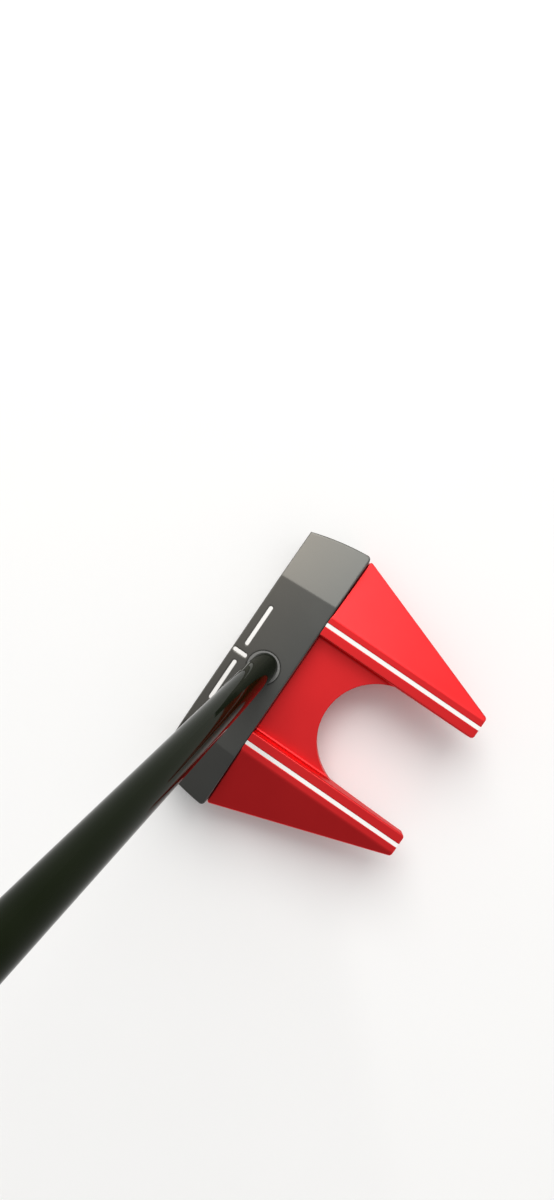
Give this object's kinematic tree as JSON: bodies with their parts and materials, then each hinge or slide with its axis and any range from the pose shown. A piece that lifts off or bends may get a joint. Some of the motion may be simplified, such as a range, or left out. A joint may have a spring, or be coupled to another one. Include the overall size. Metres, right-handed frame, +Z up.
{
  "type": "golf putter",
  "caption": "Mallet golf putter: black face bar, red winged body with a round bite, white aiming lines, centre shaft, pistol grip and screw-in sole weights.",
  "frame": {"origin": "on the flat sole, under the middle of the face bar's top line", "axes": "+X from heel to toe, +Y towards the target, +Z up; the shaft leans towards -X"},
  "size_m": [0.3572, 0.0877, 0.8152],
  "materials": {
    "bar_black": "satin",
    "body_red": "satin",
    "insert_metal": "satin",
    "glue": "satin",
    "screw_steel": "satin",
    "weight_steel": "satin",
    "washer_nylon": "satin",
    "shaft_black": "gloss",
    "plug_plastic": "matte",
    "tape_paper": "matte",
    "grip_foam": "matte",
    "grip_rubber": "matte",
    "white_paint": "satin"
  },
  "bodies": {
    "club": {"face_bar": "bar_black", "face_insert": "insert_metal", "insert_bond": "glue", "wing_body": "body_red", "heel_front_screw": "screw_steel", "heel_rear_screw": "screw_steel", "toe_front_screw": "screw_steel", "toe_rear_screw": "screw_steel", "shaft": "shaft_black", "shaft_bond": "glue", "tip_plug": "plug_plastic", "grip_tape": "tape_paper", "grip_core": "grip_foam", "grip_skin": "grip_rubber", "grip_cap": "grip_rubber", "grip_ring": "grip_rubber", "toe_top_mark": "white_paint", "centre_top_mark": "white_paint", "heel_top_mark": "white_paint", "toe_wing_line": "white_paint", "heel_wing_line": "white_paint"},
    "heel_washer": {"heel_weight_washer": "washer_nylon"},
    "heel_weight": {"heel_weight": "weight_steel"},
    "toe_washer": {"toe_weight_washer": "washer_nylon"},
    "toe_weight": {"toe_weight": "weight_steel"}
  },
  "joints": [
    {"name": "heel_weight_travel", "type": "slide", "parent": "club", "child": "heel_washer", "axis": [0, 0, -1], "range_m": [0, 0.00875]},
    {"name": "heel_weight_turn", "type": "hinge", "parent": "heel_washer", "child": "heel_weight", "pos_m": [-0.04, -0.001, 0], "axis": [0, 0, -1], "range_deg": [0, 2520]},
    {"name": "toe_weight_travel", "type": "slide", "parent": "club", "child": "toe_washer", "axis": [0, 0, -1], "range_m": [0, 0.00875]},
    {"name": "toe_weight_turn", "type": "hinge", "parent": "toe_washer", "child": "toe_weight", "pos_m": [0.04, -0.001, 0], "axis": [0, 0, -1], "range_deg": [0, 2520]}
  ],
  "couplings": [
    {"joint": "heel_weight_travel", "follows": "heel_weight_turn", "m_per_rad": 0.00019894},
    {"joint": "toe_weight_travel", "follows": "toe_weight_turn", "m_per_rad": 0.00019894}
  ]
}
